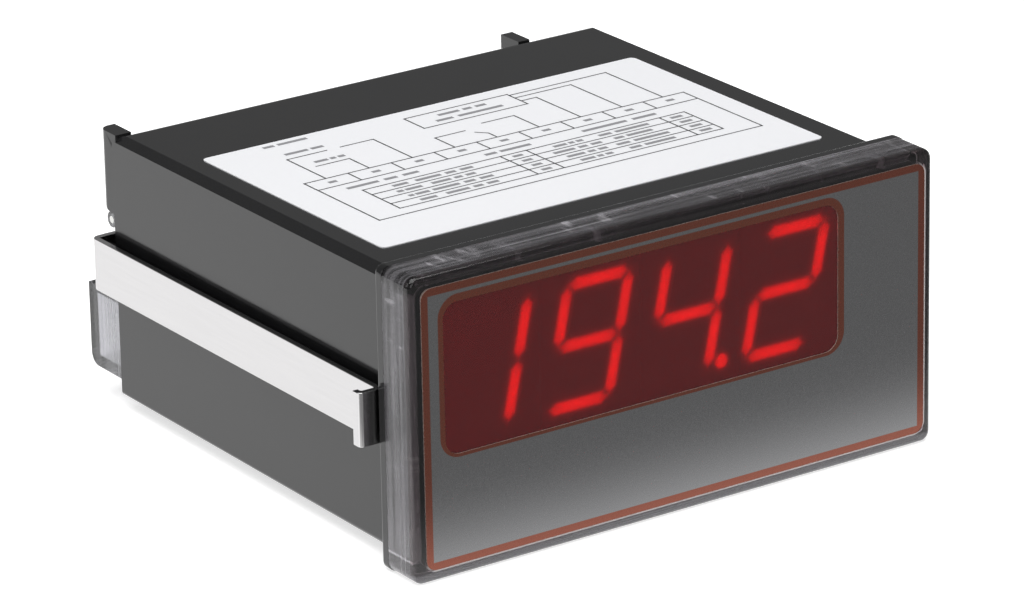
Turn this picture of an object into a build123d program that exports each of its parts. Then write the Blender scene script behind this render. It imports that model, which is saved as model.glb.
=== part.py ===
from build123d import *
from math import cos, radians, sin, tan
import os

# Digital panel meter with a 96 x 48 mm front. X runs to the right seen from the front, Y runs
# from the front to the back and Z is up. Y = 0 is the face of the panel that the meter is
# fitted in, at the centre of its cut-out. All sizes are in millimetres.

# Clear front bezel
bezel_width = 96.0
bezel_height = 48.0
bezel_depth = 7.1
bezel_wall = 2.0
bezel_front = 2.0
bezel_corner = 1.4
bezel_inner_corner = 0.6
bezel_edge = 0.9

# Printed fascia film and the red pane in its window
film_margin = 1.94
film_thickness = 0.4
film_recess = 0.3
film_corner = 1.5
film_gap = 0.05
window_left_margin = 4.06
window_right_margin = 16.46
window_top_margin = 3.21
window_foot_margin = 18.61
window_corner = 2.5
pane_thickness = 0.25

# Case sleeve with its panel flange
flange_thickness = 1.9
flange_edge = 0.6
collar_reach = 4.5
collar_gap = 0.2
collar_wall = 1.6
flange_side_lip = 2.5
flange_top_lip = 1.8
case_depth = 78.8
case_draft = 0.25
case_wall = 2.3
case_back = 2.2
case_chamfer = 1.4
case_edge = 0.5
case_foot_radius = 1.0
back_top_radius = 3.0
back_foot_radius = 1.2

# Lugs at the top of the back
lug_reach = 3.7
lug_gap = 0.075
lug_root = 1.3
lug_corner = 3.0
left_lug_thickness = 2.9
left_lug_round = 1.8
right_lug_thickness = 2.2
right_lug_inset = 12.0

# Seven-segment LED modules
digit_count = 4
digits_overhang = 1.2
digit_side_gap = 0.4
digit_overlap = 2.3
digit_depth = 6.5
digits_right = 0.1
digits_down = 0.6
digit_gap = 0.1
segment_side = 3.6
segment_top = 2.85
segment_width = 2.0
segment_gap = 0.35
segment_depth = 0.8
segment_slant = 12.0
segment_fit = 0.05
point_radius = 1.15
point_reach = 2.8
shown_segments = ["bc", "abcdfg", "bcfgp", "abdeg"]

# Display board behind the modules, with its driver chip
board_thickness = 1.6
display_board_gap = 0.4
driver_length = 18.0
driver_width = 7.5
driver_height = 2.4
driver_x = -16.0
driver_z = 6.0

# Pin header from the display board to the main board
header_pin_count = 12
header_spacing = 2.54
header_height = 2.5
header_length = 5.0
header_pin = 0.64
header_pin_gap = 0.08
header_pin_tail = 1.2

# Main board in its guide rails
main_board_lift = 6.9
main_board_start = 4.0
main_board_end_gap = 0.6
rail_size = 1.5
rail_start = 8.0
rail_gap = 0.15

# Mains transformer
core_share = 0.37
core_headroom = 5.5
core_thickness = 13.0
core_across = 0.139
core_along = 0.718
bobbin_wall = 1.0
bobbin_gap = 0.15

# Power supply pieces
rectifier_length = 15.0
rectifier_height = 10.5
rectifier_thickness = 3.6
rectifier_across = -0.185
rectifier_along = 0.862
smoother_radius = 6.3
smoother_height = 21.0
smoother_across = -0.185
smoother_along = 0.679
output_radius = 4.0
output_height = 11.5
output_across = -0.359
output_along = 0.705
output_spacing = 10.5
capacitor_rim = 0.8
regulator_width = 10.0
regulator_height = 15.5
regulator_body_height = 9.0
regulator_body = 4.4
regulator_tab = 1.3
regulator_hole = 1.8
sink_width = 20.0
sink_height = 22.0
sink_wall = 1.6
sink_share = 0.13
sink_fin_count = 5
sink_across = -0.301
sink_along = 0.418

# Logic pieces
controller_length = 35.5
controller_width = 7.0
controller_height = 3.6
controller_leg_count = 14
controller_across = 0.093
controller_along = 0.235
chip_spacing = 2.54
chip_leg = 0.5
chip_standoff = 0.6
crystal_length = 11.0
crystal_width = 4.7
crystal_height = 3.6
crystal_along = 0.372
coupler_length = 9.0
coupler_width = 6.6
coupler_height = 3.5
coupler_leg_count = 3
coupler_across = 0.394
coupler_along = 0.842

# Terminal block through the back of the case
pole_count = 9
block_side = 8.16
barrier_thickness = 1.5
block_lift = 3.5
block_height = 13.2
block_reach = 6.3
block_flange = 1.2
block_flange_depth = 2.2
block_gap = 0.15
well_depth = 3.5
well_top_wall = 1.4
clamp_thickness = 0.8
clamp_height = 6.6
clamp_fit = 0.15
terminal_head_gap = 0.46
terminal_head = 1.9
terminal_shank_share = 0.58
terminal_shank = 6.0
terminal_slot = 0.7
screw_clearance = 0.05
terminal_pin = 1.0
terminal_pin_length = 4.0

# Clamping clips and their screws
clip_width = 8.6
clip_thickness = 1.0
clip_standoff = 1.1
clip_foot_gap = 0.4
clip_lip = 3.3
clip_hem = 1.8
clip_behind = 3.5
clip_leg = 9.0
clip_bend = 1.3
clip_foot_bend = 0.8
clip_inner_bend = 0.3
clip_screw_inset = 3.5
clip_screw_radius = 1.5
clip_screw_length = 11.5
clip_hole_clearance = 0.2
clip_head_radius = 2.7
clip_head = 2.0
clip_slot = 0.8
boss_width = 5.0
boss_height = 5.6
boss_length = 9.0

# Clear terminal cover and its hinge
cover_inset = 0.4
cover_gap = 0.25
cover_depth = 9.7
cover_foot_drop = 3.0
cover_wall = 1.6
cover_slope_drop = 10.6
cover_corner = 2.0
cover_notch_height = 11.2
cover_notch_depth = 7.4
wire_slot_side = 1.96
wire_slot_depth = 4.6
hinge_lift = 2.8
knuckle_radius = 1.3
knuckle_width = 3.7
knuckle_gap = 0.2
hinge_lug_width = 2.4
hinge_arm = 1.0
hinge_arm_thickness = 1.75
pin_radius = 0.6
pin_clearance = 0.05

# Sticker on the top of the case
label_side = 4.8
label_length = 50.6
label_start = 8.7
label_thickness = 0.15
label_corner = 1.0

# Places that follow from the sizes above
front_y = -(flange_thickness + bezel_depth)
case_width = bezel_width - 2 * flange_side_lip
case_height = bezel_height - 2 * flange_top_lip
inner_width = case_width - 2 * case_wall
inner_height = case_height - 2 * case_wall
inner_end = case_depth - case_back
inner_floor = -inner_height / 2
case_top = case_height / 2
rear_shrink = case_depth * tan(radians(case_draft))
rear_half = case_width / 2 - rear_shrink
rear_top = case_top - rear_shrink
inner_bezel_width = bezel_width - 2 * bezel_wall
inner_bezel_height = bezel_height - 2 * bezel_wall
collar_width = inner_bezel_width - 2 * collar_gap
collar_height = inner_bezel_height - 2 * collar_gap
film_width = bezel_width - 2 * film_margin
film_height = bezel_height - 2 * film_margin
film_floor = front_y + film_recess
film_face = film_floor - film_thickness
pane_face = film_floor - pane_thickness
window_width = film_width - window_left_margin - window_right_margin
window_height = film_height - window_top_margin - window_foot_margin
window_x = (window_left_margin - window_right_margin) / 2
window_z = (window_foot_margin - window_top_margin) / 2
digit_pitch = (window_width + digits_overhang) / digit_count
digit_width = digit_pitch - digit_side_gap
digit_height = window_height + digit_overlap
digits_x = window_x + digits_right
digits_z = window_z - digits_down
digit_face = front_y + bezel_front + digit_gap
digit_back = digit_face + digit_depth
display_back = digit_back + board_thickness
segment_span = digit_width - 2 * segment_side
segment_rise = digit_height - 2 * segment_top
point_x = segment_span / 2 + point_reach
main_board_z = inner_floor + main_board_lift
main_top = main_board_z + board_thickness / 2
main_floor = main_board_z - board_thickness / 2
block_width = inner_width - 2 * block_side
pole_pitch = (block_width - barrier_thickness) / pole_count
block_foot_z = inner_floor + block_lift
block_top_z = block_foot_z + block_height
block_z = (block_top_z + block_foot_z) / 2
block_end = case_depth + block_reach
block_start = inner_end - block_flange_depth
well_floor = block_end - well_depth
well_width = pole_pitch - barrier_thickness
well_height = block_height - well_top_wall
terminal_head_radius = well_width / 2 - terminal_head_gap
terminal_shank_radius = terminal_head_radius * terminal_shank_share
main_board_end = block_start - main_board_end_gap
core_width = inner_width * core_share
core_leg = core_width / 3
core_side = core_leg / 2
core_yoke = core_leg / 2
core_height = inner_height / 2 - main_top - core_headroom
core_x = inner_width * core_across
core_y = inner_end * core_along
rectifier_x = inner_width * rectifier_across
rectifier_y = inner_end * rectifier_along
smoother_x = inner_width * smoother_across
smoother_y = inner_end * smoother_along
output_x = inner_width * output_across
output_y = inner_end * output_along
sink_x = inner_width * sink_across
sink_y = inner_end * sink_along
sink_depth = inner_end * sink_share
controller_x = inner_width * controller_across
controller_y = inner_end * controller_along
crystal_y = inner_end * crystal_along
coupler_x = inner_width * coupler_across
coupler_y = inner_end * coupler_along
clip_inner = case_width / 2 + clip_standoff
clip_outer = clip_inner + clip_thickness
clip_rear = case_depth + clip_behind
clip_screw_x = case_width / 2 - clip_screw_inset
cover_half = rear_half - cover_inset
cover_start = case_depth + cover_gap
cover_end = case_depth + cover_depth
cover_foot_z = block_foot_z - cover_foot_drop
hinge_y = case_depth + cover_gap + knuckle_radius
hinge_z = clip_width / 2 + hinge_lift
cover_slope_z = hinge_z - cover_slope_drop
knuckle_inner = cover_half - knuckle_width
hinge_lug_outer = knuckle_inner - knuckle_gap
notch_half = cover_half - cover_notch_depth
wire_slot_width = block_width + 2 * wire_slot_side
lug_height = rear_top - hinge_z - knuckle_radius - lug_gap
label_width = case_width - 2 * label_side

os.makedirs("parts", exist_ok=True)


def section(y):
    """Plane across the meter at depth y, with X to the right and Z up; it faces the front."""
    return Plane.XZ.offset(-y)


def rear_section(y):
    """Plane across the meter at depth y that faces the back, for shapes alike on both sides."""
    return Plane((0, y, 0), x_dir=(-1, 0, 0), z_dir=(0, 1, 0))


def save(piece, name):
    """Names a finished piece and writes it."""
    piece.part.label = name
    export_step(piece.part, f"parts/{name}.step")


def slanted(x, z):
    """A point of a digit leaned over by the digits' slant."""
    return (x + z * tan(radians(segment_slant)), z)


def segment_outline(letter, margin):
    """Corners of one six-sided segment of a digit, shrunk by a margin all round."""
    half = segment_width / 2 - margin
    side = segment_span / 2
    places = {
        "a": (0, segment_rise / 2, True),
        "g": (0, 0, True),
        "d": (0, -segment_rise / 2, True),
        "f": (-side, segment_rise / 4, False),
        "b": (side, segment_rise / 4, False),
        "e": (-side, -segment_rise / 4, False),
        "c": (side, -segment_rise / 4, False),
    }
    x, z, flat = places[letter]
    tip = (segment_span if flat else segment_rise / 2) / 2 - segment_gap - margin
    upper = [(-tip, 0), (-tip + half, half), (tip - half, half)]
    along = upper + [(-u, -v) for u, v in upper]
    if flat:
        return [slanted(x + u, z + v) for u, v in along]
    return [slanted(x + v, z - u) for u, v in along]


def draw_segments(letters, margin):
    """Draws the named segments of a digit, and its point, in the sketch in hand."""
    for letter in letters:
        if letter == "p":
            with Locations((point_x - segment_rise / 2 * tan(radians(segment_slant)), -segment_rise / 2)):
                Circle(point_radius - margin)
        else:
            Polygon(*segment_outline(letter, margin), align=None)


def digit_x(index):
    """Centre of a digit module along X."""
    return digits_x + (index - (digit_count - 1) / 2) * digit_pitch


def pole_x(index):
    """Centre of a terminal along X."""
    return (index - (pole_count - 1) / 2) * pole_pitch


# Left lug, flush with the side wall, with its outer corner rounded in plan
left_lug_x = -rear_half
lug_end = case_depth + lug_reach
lug_start = case_depth - lug_root
with BuildPart() as left_lug:
    with BuildSketch(Plane.YZ.offset(left_lug_x)) as left_lug_side:
        with Locations(((lug_start + lug_end) / 2, rear_top - lug_height / 2)):
            Rectangle(lug_end - lug_start, lug_height)
        fillet(left_lug_side.vertices().group_by(Axis.X)[-1].sort_by(Axis.Y)[0], lug_corner)
    extrude(amount=left_lug_thickness)
    with BuildSketch(Plane.XY) as left_lug_plan:
        with Locations((left_lug_x + left_lug_thickness / 2, (lug_start + lug_end) / 2)):
            Rectangle(left_lug_thickness, lug_end - lug_start)
        fillet(left_lug_plan.vertices().group_by(Axis.Y)[-1].sort_by(Axis.X)[0], left_lug_round)
    extrude(amount=case_height, mode=Mode.INTERSECT)

# Right lug, a thin rib that stands in from the other wall
right_lug_x = rear_half - right_lug_inset
with BuildPart() as right_lug:
    with BuildSketch(Plane.YZ.offset(right_lug_x - right_lug_thickness)) as right_lug_side:
        with Locations(((lug_start + lug_end) / 2, rear_top - lug_height / 2)):
            Rectangle(lug_end - lug_start, lug_height)
        fillet(right_lug_side.vertices().group_by(Axis.X)[-1].sort_by(Axis.Y)[0], lug_corner)
    extrude(amount=right_lug_thickness)

# Case: sleeve, flange, closed back with the terminal window, lugs, screw bosses and hinge lugs
with BuildPart() as case:
    with BuildSketch(rear_section(0)) as case_outline:
        Rectangle(case_width, case_height)
        case_top_corners = case_outline.vertices().group_by(Axis.Y)[-1].sort_by(Axis.X)
        chamfer(case_top_corners[1], case_chamfer)
        chamfer(case_top_corners[0], case_edge)
        fillet(case_outline.vertices().group_by(Axis.Y)[0], case_foot_radius)
    extrude(amount=case_depth, taper=case_draft)
    with BuildSketch(Plane.YZ) as case_side:
        with BuildLine():
            Polyline(
                (0, -case_top),
                (0, case_top),
                (case_depth, rear_top),
                (case_depth, -rear_top),
                close=True,
            )
        make_face()
        case_back_corners = case_side.vertices().group_by(Axis.X)[-1].sort_by(Axis.Y)
        fillet(case_back_corners[1], back_top_radius)
        fillet(case_back_corners[0], back_foot_radius)
    extrude(amount=case_width, both=True, mode=Mode.INTERSECT)
    with BuildSketch(section(-flange_thickness)):
        RectangleRounded(bezel_width, bezel_height, bezel_corner)
    extrude(amount=-flange_thickness)
    flange_back = case.faces().filter_by(Plane.XZ).filter_by_position(Axis.Y, -0.01, 0.01)[0]
    fillet(flange_back.outer_wire().edges(), flange_edge)
    with BuildSketch(section(-flange_thickness - collar_reach)):
        RectangleRounded(collar_width, collar_height, bezel_inner_corner)
        Rectangle(collar_width - 2 * collar_wall, collar_height - 2 * collar_wall, mode=Mode.SUBTRACT)
    extrude(amount=-collar_reach)
    add(left_lug.part)
    add(right_lug.part)
    with BuildSketch(section(-flange_thickness)):
        Rectangle(inner_width, inner_height)
    extrude(amount=-(flange_thickness + inner_end), mode=Mode.SUBTRACT)
    with BuildSketch(section(inner_end)):
        with Locations((0, block_z)):
            Rectangle(block_width + 2 * block_gap, block_height + 2 * block_gap)
    extrude(amount=-case_back, mode=Mode.SUBTRACT)
    for side in (-1, 1):
        with Locations((side * (inner_width - boss_width) / 2, inner_end - boss_length / 2, 0)):
            Box(boss_width, boss_length, boss_height)
        with Locations(Plane((side * clip_screw_x, case_depth, 0), z_dir=(0, 1, 0))):
            Hole(clip_screw_radius + screw_clearance, depth=case_back + boss_length)
        for rail_z in (main_top + rail_gap + rail_size / 2, main_floor - rail_gap - rail_size / 2):
            rail_x = side * (inner_width - rail_size) / 2
            with Locations((rail_x, (rail_start + main_board_end) / 2, rail_z)):
                Box(rail_size, main_board_end - rail_start, rail_size)
        hinge_lug_middle = side * (hinge_lug_outer - hinge_lug_width / 2)
        with BuildSketch(Plane.YZ.offset(hinge_lug_middle)):
            with Locations((hinge_y, hinge_z)):
                Circle(knuckle_radius)
            with Locations(((case_depth + hinge_y) / 2, hinge_z)):
                Rectangle(hinge_y - case_depth, 2 * knuckle_radius)
            with Locations((hinge_y, hinge_z)):
                Circle(pin_radius, mode=Mode.SUBTRACT)
        extrude(amount=hinge_lug_width / 2, both=True)
save(case, "case")

# Clear front bezel: a shallow tray with a recess for the film, pushed over the collar of the case
with BuildPart() as front_bezel:
    with BuildSketch(section(front_y)):
        RectangleRounded(bezel_width, bezel_height, bezel_corner)
    extrude(amount=-bezel_depth)
    fillet(front_bezel.faces().sort_by(Axis.Y)[0].edges(), bezel_edge)
    with BuildSketch(section(front_y)):
        RectangleRounded(film_width + 2 * film_gap, film_height + 2 * film_gap, film_corner + film_gap)
    extrude(amount=-film_recess, mode=Mode.SUBTRACT)
    with BuildSketch(section(front_y + bezel_front)):
        RectangleRounded(inner_bezel_width, inner_bezel_height, bezel_inner_corner)
    extrude(amount=-(bezel_depth - bezel_front), mode=Mode.SUBTRACT)
save(front_bezel, "front_bezel")

# Printed film with its window opening, and the red pane in that opening
with BuildPart() as fascia_film:
    with BuildSketch(section(film_face)):
        RectangleRounded(film_width, film_height, film_corner)
        with Locations((window_x, window_z)):
            RectangleRounded(window_width, window_height, window_corner, mode=Mode.SUBTRACT)
    extrude(amount=-film_thickness)
save(fascia_film, "fascia_film")

with BuildPart() as red_window:
    with BuildSketch(section(pane_face)):
        with Locations((window_x, window_z)):
            RectangleRounded(
                window_width - 2 * film_gap,
                window_height - 2 * film_gap,
                window_corner - film_gap,
            )
    extrude(amount=-pane_thickness)
save(red_window, "red_window")

# LED modules, each with seven segment wells and a point well in its face
for index in range(digit_count):
    with BuildPart() as digit:
        with Locations((digit_x(index), digit_face + digit_depth / 2, digits_z)):
            Box(digit_width, digit_depth, digit_height)
        with BuildSketch(section(digit_face).shift_origin((digit_x(index), digit_face, digits_z))):
            draw_segments("abcdefgp", 0)
        extrude(amount=-segment_depth, mode=Mode.SUBTRACT)
    save(digit, f"digit_{index + 1}")

# Light guides in the wells: those that glow for the reading, and the rest
with BuildPart() as lit_segments:
    for index in range(digit_count):
        with BuildSketch(section(digit_face).shift_origin((digit_x(index), digit_face, digits_z))):
            draw_segments(shown_segments[index], segment_fit)
        extrude(amount=-segment_depth)
save(lit_segments, "lit_segments")

with BuildPart() as dark_segments:
    for index in range(digit_count):
        with BuildSketch(section(digit_face).shift_origin((digit_x(index), digit_face, digits_z))):
            unlit = [letter for letter in "abcdefgp" if letter not in shown_segments[index]]
            draw_segments(unlit, segment_fit)
        extrude(amount=-segment_depth)
save(dark_segments, "dark_segments")

# Display board with holes for the header pins
header_z = main_top + header_height / 2
header_hole = header_pin + 2 * header_pin_gap
with BuildPart() as display_board:
    with BuildSketch(section(digit_back)):
        Rectangle(inner_width - 2 * display_board_gap, inner_height - 2 * display_board_gap)
        with Locations((0, header_z)):
            with GridLocations(header_spacing, header_spacing, header_pin_count, 1):
                Rectangle(header_hole, header_hole, mode=Mode.SUBTRACT)
    extrude(amount=-board_thickness)
save(display_board, "display_board")

with BuildPart() as display_driver:
    with Locations((driver_x, display_back + driver_height / 2, driver_z)):
        Box(driver_length, driver_height, driver_width)
    chamfer(display_driver.faces().sort_by(Axis.Y)[-1].edges(), driver_height / 6)
save(display_driver, "display_driver")

# Header: a plastic bar on the main board, and its pins through the display board
with BuildPart() as header_block:
    with BuildSketch(section(display_back)):
        with Locations((0, header_z)):
            Rectangle(header_pin_count * header_spacing, header_height)
            with GridLocations(header_spacing, header_spacing, header_pin_count, 1):
                Rectangle(header_hole, header_hole, mode=Mode.SUBTRACT)
    extrude(amount=-header_length)
save(header_block, "header_block")

header_pin_length = header_length + board_thickness + 2 * header_pin_tail
with BuildPart() as header_pins:
    with BuildSketch(section(digit_back - header_pin_tail)):
        with Locations((0, header_z)):
            with GridLocations(header_spacing, header_spacing, header_pin_count, 1):
                Rectangle(header_pin, header_pin)
    extrude(amount=-header_pin_length)
save(header_pins, "header_pins")

# Main board between the guide rails of the case
with BuildPart() as main_board:
    with Locations((0, (main_board_start + main_board_end) / 2, main_board_z)):
        Box(inner_width - 2 * rail_gap, main_board_end - main_board_start, board_thickness)
save(main_board, "main_board")

# Transformer: a laminated core with two windows, and a bobbin with its winding on the middle leg
core_window = (core_width - core_leg - 2 * core_side) / 2
window_tall = core_height - 2 * core_yoke
core_z = main_top + core_height / 2
core_start = core_y - core_thickness / 2
with BuildPart() as transformer_core:
    with BuildSketch(section(core_start)):
        with Locations((core_x, core_z)):
            Rectangle(core_width, core_height)
            with GridLocations(core_leg + core_window, core_height, 2, 1):
                Rectangle(core_window, window_tall, mode=Mode.SUBTRACT)
    extrude(amount=-core_thickness)
save(transformer_core, "transformer_core")

bobbin_hole_x = core_leg + 2 * bobbin_gap
bobbin_hole_y = core_thickness + 2 * bobbin_gap
bobbin_tall = window_tall - 2 * bobbin_gap
bobbin_floor = Plane((core_x, core_y, core_z - bobbin_tall / 2))
flange_x = core_leg + 2 * core_window - 2 * bobbin_gap
flange_y = core_thickness + 2 * core_window - 2 * bobbin_gap
with BuildPart() as transformer_bobbin:
    with BuildSketch(bobbin_floor):
        Rectangle(bobbin_hole_x + 2 * bobbin_wall, bobbin_hole_y + 2 * bobbin_wall)
        Rectangle(bobbin_hole_x, bobbin_hole_y, mode=Mode.SUBTRACT)
    extrude(amount=bobbin_tall)
    with BuildSketch(bobbin_floor, bobbin_floor.offset(bobbin_tall - bobbin_wall)):
        Rectangle(flange_x, flange_y)
        Rectangle(bobbin_hole_x, bobbin_hole_y, mode=Mode.SUBTRACT)
    extrude(amount=bobbin_wall)
save(transformer_bobbin, "transformer_bobbin")

winding_tall = bobbin_tall - 2 * bobbin_wall - 2 * bobbin_gap
with BuildPart() as transformer_winding:
    with BuildSketch(bobbin_floor.offset(bobbin_wall + bobbin_gap)) as winding_plan:
        Rectangle(flange_x - 2 * bobbin_gap, flange_y - 2 * bobbin_gap)
        fillet(winding_plan.vertices(), core_window / 3)
        Rectangle(
            bobbin_hole_x + 2 * bobbin_wall + 2 * bobbin_gap,
            bobbin_hole_y + 2 * bobbin_wall + 2 * bobbin_gap,
            mode=Mode.SUBTRACT,
        )
    extrude(amount=winding_tall)
save(transformer_winding, "transformer_winding")

# Power supply pieces on the main board
with BuildPart() as bridge_rectifier:
    with BuildSketch(section(rectifier_y - rectifier_thickness / 2)) as rectifier_outline:
        with Locations((rectifier_x, main_top + rectifier_height / 2)):
            Rectangle(rectifier_length, rectifier_height)
        chamfer(rectifier_outline.vertices().group_by(Axis.Y)[-1].sort_by(Axis.X)[-1], rectifier_height / 4)
    extrude(amount=-rectifier_thickness)
save(bridge_rectifier, "bridge_rectifier")

with BuildPart() as smoothing_capacitor:
    with Locations((smoother_x, smoother_y, main_top + smoother_height / 2)):
        Cylinder(smoother_radius, smoother_height)
    fillet(smoothing_capacitor.edges().filter_by(GeomType.CIRCLE).sort_by(Axis.Z)[-1], capacitor_rim)
save(smoothing_capacitor, "smoothing_capacitor")

with BuildPart() as output_capacitors:
    with Locations((output_x, output_y, main_top + output_height / 2)):
        with GridLocations(output_spacing, output_spacing, 1, 2):
            Cylinder(output_radius, output_height)
    fillet(output_capacitors.edges().filter_by(GeomType.CIRCLE).group_by(Axis.Z)[-1], capacitor_rim)
save(output_capacitors, "output_capacitors")

# Heat sink: a back plate with fins, and the regulator on its plain face
fin_spacing = (sink_width - sink_wall) / (sink_fin_count - 1)
with BuildPart() as heat_sink:
    with BuildSketch(Plane.XY.offset(main_top)):
        with Locations((sink_x, sink_y)):
            Rectangle(sink_width, sink_wall)
        with Locations((sink_x, sink_y + sink_depth / 2)):
            with GridLocations(fin_spacing, sink_depth, sink_fin_count, 1):
                Rectangle(sink_wall, sink_depth)
    extrude(amount=sink_height)
save(heat_sink, "heat_sink")

regulator_face = sink_y - sink_wall / 2
regulator_lift = main_top + regulator_hole
with BuildPart() as regulator:
    with BuildSketch(section(regulator_face - regulator_tab)):
        with Locations((sink_x, regulator_lift + regulator_height / 2)):
            Rectangle(regulator_width, regulator_height)
        with Locations((sink_x, regulator_lift + regulator_height - regulator_hole * 1.6)):
            Circle(regulator_hole, mode=Mode.SUBTRACT)
    extrude(amount=-regulator_tab)
    regulator_middle = regulator_face - regulator_body / 2
    with Locations((sink_x, regulator_middle, regulator_lift + regulator_body_height / 2)):
        Box(regulator_width, regulator_body, regulator_body_height)
    with BuildSketch(Plane.XY.offset(main_top)):
        with Locations((sink_x, regulator_middle)):
            with GridLocations(chip_spacing, chip_spacing, 3, 1):
                Rectangle(2 * chip_leg, chip_leg)
    extrude(amount=regulator_hole)
save(regulator, "regulator")


def build_chip(length, width, height, x, y, legs):
    """A dual-in-line chip that stands on the main board on its two rows of legs."""
    with BuildPart() as chip:
        with Locations((x, y, main_top + chip_standoff + height / 2)):
            Box(length, width, height)
        chamfer(chip.edges().filter_by(Axis.X).group_by(Axis.Z)[-1], height / 8)
        with BuildSketch(Plane.XY.offset(main_top)):
            with Locations((x, y)):
                with GridLocations(chip_spacing, width - chip_leg, legs, 2):
                    Rectangle(2 * chip_leg, chip_leg)
        extrude(amount=chip_standoff)
    return chip


controller_chip = build_chip(
    controller_length, controller_width, controller_height, controller_x, controller_y, controller_leg_count
)
save(controller_chip, "controller_chip")
input_coupler = build_chip(
    coupler_length, coupler_width, coupler_height, coupler_x, coupler_y, coupler_leg_count
)
save(input_coupler, "input_coupler")

with BuildPart() as crystal:
    with BuildSketch(Plane.XY.offset(main_top)):
        with Locations((controller_x, crystal_y)):
            SlotOverall(crystal_length, crystal_width)
    extrude(amount=crystal_height)
    fillet(crystal.faces().sort_by(Axis.Z)[-1].edges(), capacitor_rim)
save(crystal, "crystal")

# Terminal block: a shouldered bar with a well for each pole, open below for the wire
clamp_z = block_z
with BuildPart() as terminal_block:
    with BuildSketch(section(block_start)):
        with Locations((0, block_z)):
            Rectangle(block_width + 2 * block_flange, block_height + 2 * block_flange)
    extrude(amount=-block_flange_depth)
    with BuildSketch(section(inner_end)):
        with Locations((0, block_z)):
            Rectangle(block_width, block_height)
    extrude(amount=-(block_end - inner_end))
    with BuildSketch(section(well_floor)):
        with Locations((0, block_foot_z + well_height / 2)):
            with GridLocations(pole_pitch, block_height, pole_count, 1):
                Rectangle(well_width, well_height)
    extrude(amount=-well_depth, mode=Mode.SUBTRACT)
    for index in range(pole_count):
        with Locations(Plane((pole_x(index), well_floor, clamp_z), z_dir=(0, 1, 0))):
            Hole(terminal_shank_radius + screw_clearance, depth=terminal_shank + terminal_slot)
save(terminal_block, "terminal_block")

with BuildPart() as terminal_clamps:
    with BuildSketch(section(well_floor)):
        with Locations((0, clamp_z)):
            with GridLocations(pole_pitch, block_height, pole_count, 1):
                Rectangle(well_width - 2 * clamp_fit, clamp_height)
                Circle(terminal_shank_radius + clamp_fit, mode=Mode.SUBTRACT)
    extrude(amount=-clamp_thickness)
save(terminal_clamps, "terminal_clamps")

head_seat = well_floor + clamp_thickness
with BuildPart() as terminal_screws:
    with BuildSketch(section(head_seat)):
        with Locations((0, clamp_z)):
            with GridLocations(pole_pitch, block_height, pole_count, 1):
                Circle(terminal_head_radius)
    extrude(amount=-terminal_head)
    with BuildSketch(section(head_seat + terminal_head - terminal_slot)):
        with Locations((0, clamp_z)):
            Rectangle(block_width, terminal_slot)
    extrude(amount=-terminal_slot, mode=Mode.SUBTRACT)
    with BuildSketch(section(head_seat - terminal_shank)):
        with Locations((0, clamp_z)):
            with GridLocations(pole_pitch, block_height, pole_count, 1):
                Circle(terminal_shank_radius)
    extrude(amount=-terminal_shank)
save(terminal_screws, "terminal_screws")

with BuildPart() as terminal_pins:
    with BuildSketch(section(block_start - terminal_pin_length)):
        with Locations((0, main_top + terminal_pin / 2)):
            with GridLocations(pole_pitch, block_height, pole_count, 1):
                Rectangle(terminal_pin, terminal_pin)
    extrude(amount=-terminal_pin_length)
save(terminal_pins, "terminal_pins")

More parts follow.
